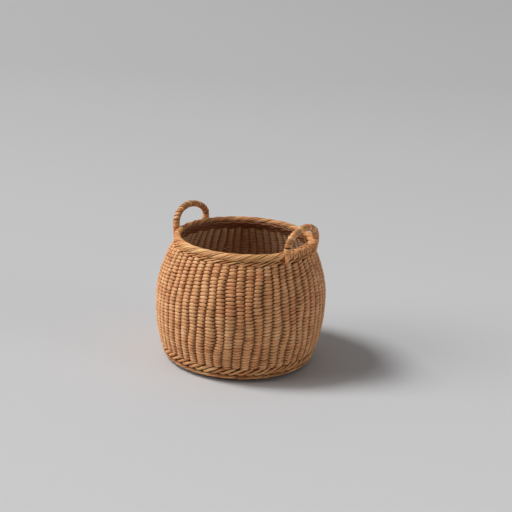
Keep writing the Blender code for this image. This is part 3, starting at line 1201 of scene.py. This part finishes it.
@dataclass
class Wale:
    """Row of stout strands twined round the stakes, whose strokes overlap and rise to the right."""

    name: str
    node: str
    middle_radius: float
    middle_height: float
    outward: tuple[float, float]
    front_reach: float
    half_thickness: float
    half_width: float
    climb: float
    share: float
    strands: int = 3
    steps_per_stake: int = 10
    bias: float = 0.45
    sharpness: float = 1.5
    reach_spread: float = 0.05
    lift_spread: float = 0.10 * MM
    width_spread: float = 0.06
    tone_spread: float = 0.5
    hue_spread: float = 0.4
    edge_shade: float = 0.6
    seed: int = 61

    def strand(self, number: int) -> bpy.types.Object:
        """One strand, in front of some stakes and behind the next.

        Args:
            number: number of the strand in its row.

        Returns:
            The strand.
        """
        rng = np.random.default_rng(self.seed * 10 + number)
        angle = circle(STAKES.count * self.steps_per_stake)
        place = STAKES.place(angle, self.share)
        phase = TURN * (place + number) / self.strands
        front = np.tanh(self.sharpness * (np.cos(phase) + self.bias))
        front = front / math.tanh(self.sharpness * (1 + self.bias))
        reach = self.front_reach * front * (1 + uneven(rng, self.reach_spread, place))
        lift = self.climb * np.sin(phase) + uneven(rng, self.lift_spread, place)
        outward = np.array(self.outward)
        along = np.array([-outward[1], outward[0]])
        radius = self.middle_radius + reach * outward[0] + lift * along[0]
        height = self.middle_height + reach * outward[1] + lift * along[1]
        turns = phase / TURN + 1
        growth = 1 + uneven(rng, self.width_spread, place)
        # Painted shade where a strand goes behind the stakes, and on its sides
        return Strand(
            f"{self.name}_{number}", around(radius, height, angle), around(along[0], along[1], angle),
            self.half_thickness * growth, self.half_width * growth, sides=12, fullness=2.2,
            tone=stroke_tones(rng, turns, self.tone_spread), hue=stroke_tones(rng, turns, self.hue_spread),
            recess_shade=np.clip(0.4 - 0.8 * front, 0, 1), edge_shade=self.edge_shade,
            grain_shift=0.23 * number,
        ).build()

    def dress(self, material: bpy.types.Material) -> None:
        """Make the row and hand it over."""
        row = join_pieces(self.name, [self.strand(number) for number in range(self.strands)])
        hand_over(row, material, [self.node])


@dataclass
class RolledBorder:
    """Rope-like border of rolled rod ends: groups of thin rods that turn round a core.

    It is paler towards the front and browner at the back, and painted shade darkens its lower inward side,
    as the photograph shows.
    """

    radius: float
    height: float
    tube: float
    groups: int = 3
    rods_in_group: int = 3
    turns: int = 10
    spread: float = math.radians(35)
    rod_half_width: float = 0.00068
    rod_half_thickness: float = 0.00062
    steps_per_turn: int = 30
    front: float = math.radians(-54)
    front_paleness: float = 0.7
    group_taper: float = 0.16 * MM
    twist_spread: float = 0.05
    swell_spread: float = 0.06
    draws_per_turn: int = 3
    tone_spread: float = 0.6
    hue_spread: float = 0.4
    # Painted shade on the border's lower inward side
    under_rim_shade: float = 0.85
    under_rim_shade_power: float = 1.2
    edge_shade: float = 0.85
    core_steps: int = 240
    seed: int = 83

    def rod(self, group: int, member: int) -> bpy.types.Object:
        """One thin rod of one group.

        Args:
            group: number of the group.
            member: number of the rod in its group.

        Returns:
            The strand.
        """
        rng = np.random.default_rng(self.seed * 100 + 10 * group + member)
        angle = circle(self.turns * self.steps_per_turn)
        off_middle = member - (self.rods_in_group - 1) / 2
        draws = self.draws_per_turn * self.turns
        place = draws * angle / TURN
        wobble = uneven(rng, self.twist_spread, place, draws)
        twist = self.turns * angle + TURN * group / self.groups + off_middle * self.spread + wobble
        swell = uneven(rng, self.swell_spread, place, draws)
        reach = self.tube - self.rod_half_thickness - 0.05 * MM - self.group_taper * abs(off_middle)
        reach = reach + 0.6 * swell * self.rod_half_thickness
        radius = self.radius + reach * np.cos(twist)
        height = self.height + reach * np.sin(twist)
        across = np.stack([-np.sin(twist), np.cos(twist)], axis=-1)
        hint = around(across[:, 0], across[:, 1], angle)
        turns = twist / TURN + 1
        # Paler towards the front, browner at the back
        front_tone = self.front_paleness * np.cos(angle - self.front)
        # Painted shade on the lower inward quarter of the tube
        under_rim_mask = np.clip(-0.7 * (np.cos(twist) + np.sin(twist)), 0, 1)
        return Strand(
            f"border_rod_{group}_{member}", around(radius, height, angle), hint,
            self.rod_half_thickness, self.rod_half_width * (1 + swell), sides=10, fullness=2.1,
            tone=stroke_tones(rng, turns, self.tone_spread) + front_tone,
            hue=stroke_tones(rng, turns, self.hue_spread),
            recess_shade=self.under_rim_shade * under_rim_mask ** self.under_rim_shade_power,
            edge_shade=self.edge_shade, grain_shift=0.4 * group + 0.13 * member,
        ).build()

    def core(self) -> bpy.types.Object:
        """Plain ring inside the rods, darkened fully with painted shade."""
        route = around(self.radius, self.height, circle(self.core_steps))
        radius = self.tube - 2 * self.rod_half_thickness + 0.15 * MM
        return Strand(
            "border_core", route, np.array([0.0, 0.0, 1.0]), radius, radius, fullness=2.0,
            tone=-1.0, recess_shade=1.0,
        ).build()

    def dress(self, material: bpy.types.Material) -> None:
        """Make the border and hand it over."""
        rods = [
            self.rod(group, member)
            for group in range(self.groups) for member in range(self.rods_in_group)
        ]
        border = join_pieces("rolled_border", rods + [self.core()])
        hand_over(border, material, ["rim_border"])


@dataclass
class EarHandle:
    """Ear handle: a bent rod wound with skein, with a band and a sheath of skein at each foot.

    The front one also has a thin lashing over the border between its feet. In the photograph the
    front one's sheaths are short and narrow, and the back one's are long and broad.
    """

    name: str
    gaps: tuple[int, int]
    border: RolledBorder
    collar_bottom: float
    collar_top: float
    top_height: float
    overhang: float
    sheath_half_width: float
    leg_depth: float
    lashed: bool
    clearance: float = 0.0003
    rod_radius: float = 0.0007
    winding_radius: float = 0.00150
    skein_half_thickness: float = 0.00045
    skein_half_width: float = 0.00125
    winding_pitch: float = 0.00200
    winding_jitter: float = 0.06 * MM
    winding_spread: float = 0.05
    steps_per_turn: int = 20
    tuck: float = 0.0042
    band_radius: float = 0.00160
    band_half_thickness: float = 0.5 * MM
    band_share: float = 0.55
    band_tones: tuple[float, float] = (0.5, 0.9)
    ring_sag: float = 0.12 * MM
    thread_radius: float = 0.00020
    sheath_foot: float = 0.62
    sheath_power: float = 0.7
    sheath_thinnest: float = 0.45 * MM
    sheath_thicker: float = 1.15 * MM
    lashing_turns: int = 7
    lashing_lift: float = 0.12 * MM
    lashing_half_thickness: float = 0.28 * MM
    lashing_half_width: float = 0.62 * MM
    lashing_tone: float = 0.7
    ring_steps: int = 48
    seed: int = 97

    def __post_init__(self) -> None:
        """Work out the arch's plane and its length."""
        self.leg_angles = [gap * STAKES.pitch for gap in self.gaps]
        middle = sum(self.leg_angles) / 2
        spread = (self.leg_angles[1] - self.leg_angles[0]) / 2
        self.leg_radius = self.border.radius + self.border.tube + self.clearance + self.rod_radius
        self.outward = np.array([math.cos(middle), math.sin(middle), 0.0])
        self.sideways = np.array([-math.sin(middle), math.cos(middle), 0.0])
        self.half_span = self.leg_radius * math.sin(spread)
        self.plane = self.leg_radius * math.cos(spread)
        self.table = self.arch(np.linspace(0, 1, 400))
        steps = np.linalg.norm(np.diff(self.table, axis=0), axis=1)
        self.lengths = np.concatenate([[0], np.cumsum(steps)])

    def arch(self, share: np.ndarray) -> np.ndarray:
        """Points of half an ellipse from one band to the other, leaning out towards its top.

        Args:
            share: shares of the way, from nothing to one.

        Returns:
            Points as rows of three.
        """
        turn = math.pi * share
        across = -self.half_span * np.cos(turn)
        height = self.collar_top + (self.top_height - self.collar_top) * np.sin(turn)
        out = self.plane + self.overhang * np.sin(turn) ** 2
        flat = out[:, None] * self.outward[None, :] + across[:, None] * self.sideways[None, :]
        return flat + height[:, None] * np.array([[0.0, 0.0, 1.0]])

    def along(self, length: np.ndarray) -> np.ndarray:
        """Points at lengths along the arch."""
        columns = [np.interp(length, self.lengths, self.table[:, axis]) for axis in range(3)]
        return np.stack(columns, axis=-1)

    def leg(self, angle: float, proud: float, sink: float) -> np.ndarray:
        """Points of a leg from its end in the weave up to its band.

        Args:
            angle: direction of the leg.
            proud: how far the route is outside the rod's own middle line.
            sink: how far the end goes into the weave.

        Returns:
            The points, from the end upwards.
        """
        wale_top = self.border.height - self.border.tube
        heights = wale_top - self.leg_depth * np.array([1, 0.7, 0.35, 0])
        depths = np.array([sink, sink / 3, 0, 0]) - (2 * self.clearance + self.rod_radius + proud)
        radius, level = WALL.point(heights, depths)
        radius = np.concatenate([radius, np.full(3, self.leg_radius + proud)])
        level = np.concatenate([level, [self.border.height, self.collar_bottom, self.collar_top]])
        return around(radius, level, angle)

    def core(self) -> bpy.types.Object:
        """The bent rod, with its legs outside the border and their ends in the weave.

        Returns:
            The rod.
        """
        legs = [self.leg(angle, 0.0, self.tuck) for angle in self.leg_angles]
        arch = self.along(np.linspace(0, self.lengths[-1], 40))
        points = rounded(np.concatenate([legs[0][:-1], arch, legs[1][:-1][::-1]]), 1)
        # Painted shade darkens the rod under its winding
        return Strand(
            f"{self.name}_core", points, self.outward, self.rod_radius, self.rod_radius, closed=False,
            sides=10, fullness=2.0, recess_shade=0.4,
        ).build()

    def winding(self) -> bpy.types.Object:
        """Flat skein wound closely round the rod, each turn just over the last.

        Returns:
            The winding.
        """
        rng = np.random.default_rng(self.seed)
        loops = math.floor(self.lengths[-1] / self.winding_pitch)
        steps = loops * self.steps_per_turn
        turns = loops * np.arange(steps + 1) / steps
        length = self.lengths[-1] * np.arange(steps + 1) / steps
        middle = self.along(length)
        ahead = unit(np.gradient(middle, axis=0))
        inward = unit(np.cross(ahead, self.outward))
        top = np.cross(inward, ahead)
        jitter = uneven(rng, self.winding_jitter, turns, loops)
        angle = TURN * turns
        spoke = np.cos(angle)[:, None] * top + np.sin(angle)[:, None] * inward
        route = middle + (self.winding_radius + jitter)[:, None] * spoke
        return Strand(
            f"{self.name}_skein", route, ahead + 0.2 * spoke, self.skein_half_thickness,
            self.skein_half_width * (1 + uneven(rng, self.winding_spread, turns, loops)), closed=False,
            sides=10, fullness=2.6, tone=stroke_tones(rng, turns, 0.6), hue=stroke_tones(rng, turns, 0.5),
            edge_shade=0.9,
        ).build()

    def ring(
        self, angle: float, level: float, reach: float, thick: float, wide: float, tone: float,
    ) -> bpy.types.Object:
        """Closed ring round a leg.

        Args:
            angle: direction of the leg.
            level: height of the ring.
            reach: radius of the ring's middle line.
            thick: half thickness of its strand.
            wide: half width of its strand.
            tone: tone of its strand.

        Returns:
            The ring.
        """
        turn = circle(self.ring_steps)
        slope = self.ring_sag * np.sin(turn + angle)
        route = around(self.leg_radius, level, angle) + around(reach, slope, turn)
        return Strand(
            f"{self.name}_ring", route, np.array([0.0, 0.0, 1.0]), thick, wide, sides=10, fullness=2.5,
            tone=tone, hue=tone / 4, edge_shade=0.8,
        ).build()

    def band(self, foot: str, angle: float) -> bpy.types.Object:
        """Two turns of skein round a foot, level with the top of the border.

        Args:
            foot: name of the foot.
            angle: direction of the leg.

        Returns:
            The band.
        """
        step = (self.collar_top - self.collar_bottom) / 2
        rings = []
        for turn, tone in enumerate(self.band_tones):
            level = self.collar_bottom + (turn + 0.5) * step
            rings.append(self.ring(
                angle, level, self.band_radius, self.band_half_thickness, self.band_share * step, tone,
            ))
        return join_pieces(f"{self.name}_band_{foot}", rings)

    def threads(self, foot: str, angle: float) -> bpy.types.Object:
        """The two thin threads above and below a band.

        Args:
            foot: name of the foot.
            angle: direction of the leg.

        Returns:
            The threads.
        """
        reach = self.band_radius + 0.2 * MM
        rings = [
            self.ring(angle, level, reach, self.thread_radius, self.thread_radius, 0.0)
            for level in (self.collar_bottom - 0.1 * MM, self.collar_top + 0.1 * MM)
        ]
        return join_pieces(f"{self.name}_threads_{foot}", rings)

    def sheath(self, foot: str, angle: float) -> bpy.types.Object:
        """Smooth broad skein folded lengthwise over a leg, with its end tucked into the weave.

        Args:
            foot: name of the foot.
            angle: direction of the leg.

        Returns:
            The sheath, thin and narrow at its tucked end.
        """
        route = rounded(self.leg(angle, 0.2 * MM, self.tuck)[:-1], 2)
        share = np.linspace(0, 1, len(route)) ** self.sheath_power
        half_width = self.sheath_half_width * (self.sheath_foot + (1 - self.sheath_foot) * share)
        half_thickness = self.sheath_thinnest + self.sheath_thicker * share
        return Strand(
            f"{self.name}_sheath_{foot}", route, np.array([math.sin(angle), -math.cos(angle), 0.0]),
            half_thickness, half_width, closed=False, sides=16, fullness=2.3, tone=0.8, hue=0.6,
            edge_shade=0.25, grain_shift=angle,
        ).build()

    def lashing(self) -> bpy.types.Object:
        """Thin skein wound over the border from one leg to the other and back, so that it crosses.

        Returns:
            The lashing.
        """
        rng = np.random.default_rng(self.seed + 5)
        share = np.linspace(0, 1, self.lashing_turns * self.steps_per_turn + 1)
        low, high = self.leg_angles
        strands = []
        for number, (start, end) in enumerate(((low, high), (high, low))):
            angle = start + (end - start) * share
            turn = TURN * self.lashing_turns * share + math.pi * number
            reach = self.border.tube + self.lashing_lift + 0.10 * MM * number
            radius = self.border.radius + reach * np.cos(turn)
            height = self.border.height + reach * np.sin(turn)
            forward = np.stack([-np.sin(angle), np.cos(angle), 0 * angle], axis=-1)
            strands.append(Strand(
                f"{self.name}_lashing_{number}", around(radius, height, angle), forward,
                self.lashing_half_thickness, self.lashing_half_width, closed=False, sides=8, fullness=2.5,
                tone=stroke_tones(rng, self.lashing_turns * share, 0.4) + self.lashing_tone, hue=0.5,
                edge_shade=0.8,
            ).build())
        return join_pieces(f"{self.name}_lashing", strands)

    def dress(
        self, rod: bpy.types.Material, skein: bpy.types.Material, thread: bpy.types.Material,
    ) -> None:
        """Make the handle's pieces and hand them over.

        Args:
            rod: finish of the bent rod.
            skein: finish of the winding, the bands, the sheaths and the lashing.
            thread: finish of the threads.
        """
        if self.lashed:
            hand_over(self.lashing(), skein, [f"{self.name}_wrap"])
        hand_over(self.core(), rod, [f"{self.name}_rod"])
        hand_over(self.winding(), skein, [f"{self.name}_wrap"])
        for foot, angle in zip(("left", "right"), self.leg_angles):
            hand_over(self.band(foot, angle), skein, [f"{self.name}_collar_{foot}"])
            hand_over(self.threads(foot, angle), thread, [f"{self.name}_collar_{foot}"])
            hand_over(self.sheath(foot, angle), skein, [f"{self.name}_binding_{foot}"])


@dataclass
class Studio:
    """Pale floor, a large soft key light from the left, two weaker ones, a sky and the camera."""

    focal_pixels: float = 1200.0
    image_width: float = 512.0
    sensor: float = 36.0
    distance: float = 0.720
    azimuth: float = math.radians(36.0)
    elevation: float = math.radians(23.2)
    roll: float = math.radians(2.6)
    aim_x: float = 238.4
    aim_y: float = 352.1
    floor_size: float = 8.0
    light_distance: float = 12.0
    sky: float = 0.21
    sky_least: float = 0.15
    sky_most: float = 1.55
    lights: tuple[tuple[str, float, float, float, float], ...] = (
        ("key", 3.6, 54, 4, 1050),
        ("low fill", 7.5, 28, -12, 560),
        ("side fill", 6.0, 15, 205, 230),
    )

    def camera(self) -> bpy.types.Object:
        """Camera at the photograph's angle, aimed so that the foot's middle falls on its pixel.

        Returns:
            The camera.
        """
        data = bpy.data.cameras.new("camera")
        data.sensor_width = self.sensor
        data.lens = self.focal_pixels * self.sensor / self.image_width
        data.clip_start, data.clip_end = 0.05, 50
        sine, cosine = math.sin(self.azimuth), math.cos(self.azimuth)
        rise = math.sin(self.elevation)
        back = Vector((sine * math.cos(self.elevation), -cosine * math.cos(self.elevation), rise))
        right = Vector((cosine, sine, 0))
        up = back.cross(right)
        plain = Matrix((right, up, -back))
        turn = Matrix.Rotation(-self.roll, 3, "Z")
        half = self.image_width / 2
        sight = Vector((
            (self.aim_x - half) / self.focal_pixels, -(self.aim_y - half) / self.focal_pixels, 1,
        )).normalized()
        aim = Vector((0, 0, 1)).rotation_difference(sight).to_matrix()
        rows = aim @ turn @ plain
        columns = Matrix((rows[0], rows[1], -rows[2])).transposed()
        camera = bpy.data.objects.new("camera", data)
        camera.matrix_world = Matrix.Translation(back * self.distance) @ columns.to_4x4()
        bpy.context.scene.collection.objects.link(camera)
        bpy.context.scene.camera = camera
        return camera

    def soft_light(
        self, name: str, size: float, elevation: float, turn: float, power: float,
    ) -> bpy.types.Object:
        """Large soft light, aimed at the basket.

        Args:
            name: name of the light.
            size: its diameter.
            elevation: its height above the floor, in degrees.
            turn: degrees round the basket, from the camera's left towards the far side.
            power: its power in watts.

        Returns:
            The light.
        """
        data = bpy.data.lights.new(name, "AREA")
        data.shape = "DISK"
        data.size = size
        data.energy = power
        sine, cosine = math.sin(self.azimuth), math.cos(self.azimuth)
        left = Vector((-cosine, -sine, 0))
        away = Vector((-sine, cosine, 0))
        level = left * math.cos(math.radians(turn)) + away * math.sin(math.radians(turn))
        rise = math.radians(elevation)
        towards = level * math.cos(rise) + Vector((0, 0, math.sin(rise)))
        lamp = bpy.data.objects.new(name, data)
        lamp.location = towards * self.light_distance
        lamp.rotation_euler = towards.to_track_quat("Z", "Y").to_euler()
        bpy.context.scene.collection.objects.link(lamp)
        return lamp

    def sky_light(self) -> None:
        """Pale world, brightest above and behind, shown evenly to the camera."""
        world = bpy.data.worlds.new("studio")
        world.use_nodes = True
        bpy.context.scene.world = world
        graph = NodeGraph(world.node_tree)
        path = graph.add("ShaderNodeLightPath")
        seen = path.outputs["Is Camera Ray"]
        way = graph.add("ShaderNodeTexCoord").outputs["Generated"]
        bright = Vector((-math.sin(self.azimuth), math.cos(self.azimuth), 1.0)).normalized()
        facing = graph.add("ShaderNodeVectorMath", {"operation": "DOT_PRODUCT"}, in_0=way, in_1=bright)
        level = graph.add(
            "ShaderNodeMapRange", Value=facing.outputs["Value"], From_Min=-0.3, From_Max=1.0,
            To_Min=self.sky_least * self.sky, To_Max=self.sky_most * self.sky,
        )
        light = graph.add("ShaderNodeBackground", Color=(1, 1, 1, 1), Strength=level.outputs["Result"])
        shown = graph.add("ShaderNodeBackground", Color=linear("#C4C4C4"), Strength=1.0)
        mix = graph.add(
            "ShaderNodeMixShader", in_0=seen, in_1=light.outputs["Background"],
            in_2=shown.outputs["Background"],
        )
        graph.add("ShaderNodeOutputWorld", Surface=mix.outputs["Shader"])

    def floor(self) -> bpy.types.Object:
        """Wide pale paper floor, with painted shade that turns it a little darker away from the camera.

        Returns:
            The floor.
        """
        deselect_all()
        bpy.ops.mesh.primitive_plane_add(size=self.floor_size, location=(0, 0, 0))
        floor = bpy.context.object
        floor.name = "floor"
        material = bpy.data.materials.new("matt grey paper")
        material.use_nodes = True
        graph = NodeGraph(material.node_tree)
        place = graph.add("ShaderNodeTexCoord").outputs["Object"]
        turned = graph.add("ShaderNodeMapping", Vector=place, Rotation=(0, 0, -self.azimuth))
        split = graph.add("ShaderNodeSeparateXYZ", Vector=turned.outputs["Vector"])
        # Painted shade: the floor darkens away from the camera
        depth = graph.add(
            "ShaderNodeMapRange", Value=split.outputs["Y"], From_Min=-0.35, From_Max=0.95,
        )
        ramp = graph.add("ShaderNodeValToRGB", Fac=depth.outputs["Result"])
        stops = ramp.color_ramp.elements
        stops[0].position, stops[0].color = 0.0, linear("#CBCBCC")
        stops[1].position, stops[1].color = 1.0, linear("#B5B5B6")
        shader = graph.add("ShaderNodeBsdfPrincipled", Base_Color=ramp.outputs["Color"], Roughness=0.9)
        shader.inputs["Specular IOR Level"].default_value = 0.2
        graph.add("ShaderNodeOutputMaterial", Surface=shader.outputs["BSDF"])
        floor.data.materials.append(material)
        return floor

    def build(self) -> None:
        """Set the whole stage."""
        self.camera()
        for light in self.lights:
            self.soft_light(*light)
        self.sky_light()
        self.floor()
        bpy.context.scene.view_settings.view_transform = "Standard"


def wall_wale(name: str, node: str, bottom: float, top: float, standout: float) -> Wale:
    """Wale that lies round the wall between two heights.

    Args:
        name: name of the piece.
        node: CAD node that it stands for.
        bottom: its lower height on the wall's outer face.
        top: its upper height.
        standout: how far its front stands proud of that face.

    Returns:
        The wale, ready to dress.
    """
    middle = np.array((bottom + top) / 2)
    radius, height = WALL.point(middle, WALL.stake_depth)
    slope = float(WALL.slope(middle))
    norm = math.hypot(1, slope)
    half_width = WALE_WIDTH_SHARE * (top - bottom)
    half_thickness = 0.72 * MM
    return Wale(
        name, node, float(radius), float(height), (1 / norm, -slope / norm),
        front_reach=WALL.stake_depth + standout - half_thickness, half_thickness=half_thickness,
        half_width=half_width, climb=(top - bottom) / 2 - half_width,
        share=0.0 if bottom < WALL.belly_height else 1.0,
    )


def foot_rope() -> Wale:
    """Lower row of the foot, on the slant under the wall's foot.

    It is a fifth thinner than its solid is high, and its middle is far enough from the solid's
    side and underside that its strokes stay inside.

    Returns:
        The wale, ready to dress.
    """
    low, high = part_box("foot_wale_lower")
    tube = 0.8 * (high.z - low.z) / 2
    slant = math.sqrt(0.5)
    half_thickness = 0.65 * MM
    return Wale(
        "foot_rope_lower", "foot_wale_lower", high.x - 1.5 * tube, low.z + 1.3 * tube, (slant, -slant),
        front_reach=tube - half_thickness, half_thickness=half_thickness, half_width=0.66 * MM,
        climb=0.65 * MM, share=0.0, seed=67,
    )


def main() -> None:
    """Build the basket's pieces in order and set the stage."""
    logging.basicConfig(level=logging.INFO, format="%(message)s")
    woven, stout, rods = WOVEN_SKEIN.material(), STOUT_WILLOW.material(), WHOLE_ROD.material()
    skein, thread = SHAVED_SKEIN.material(), DARK_THREAD.material()

    WovenWall().dress(woven)
    discs = ((BaseFace.UNDER, 0.55 * MM, 1.3 * MM), (BaseFace.INSIDE, 5.75 * MM, 0.0))
    for face, height, edge_rise in discs:
        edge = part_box(f"base_{face.value}")[1].x
        WovenBase(face, edge - 0.3 * MM, height, edge_rise).dress(woven)
    StakeRods(corner_radius=edge + 0.4 * MM).dress(rods)

    foot_rope().dress(stout)
    wall_wale("foot_rope_upper", "foot_wale_upper", 3.6 * MM, 8.4 * MM, 0.3 * MM).dress(stout)
    wall_wale("neck_rope", "top_wale", 67.6 * MM, 70.2 * MM, 0.2 * MM).dress(stout)

    low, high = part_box("rim_border")
    tube = (high.z - low.z) / 2
    border = RolledBorder(high.x - tube, (low.z + high.z) / 2, tube)
    border.dress(stout)
    collar_low, collar_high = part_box("front_handle_collar_left")
    # Name, gaps that the feet stand in, overhang, sheath's half width and depth, drop of the bands
    for name, gaps, overhang, sheath, depth, drop in (
        ("front_handle", (-3, 3), 1.0 * MM, 1.05 * MM, 0.8 * MM, 0.0),
        ("back_handle", (25, 31), 2.0 * MM, 2.5 * MM, 3.0 * MM, 1.2 * MM),
    ):
        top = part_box(f"{name}_rod")[1].z - 0.7 * MM
        lashed = name == "front_handle"
        handle = EarHandle(
            name, gaps, border, collar_bottom=collar_low.z - drop, collar_top=collar_high.z - drop,
            top_height=top, overhang=overhang, sheath_half_width=sheath, leg_depth=depth, lashed=lashed,
        )
        handle.dress(rods, skein, skein if lashed else thread)

    Studio().build()


if __name__ == "__main__":
    main()
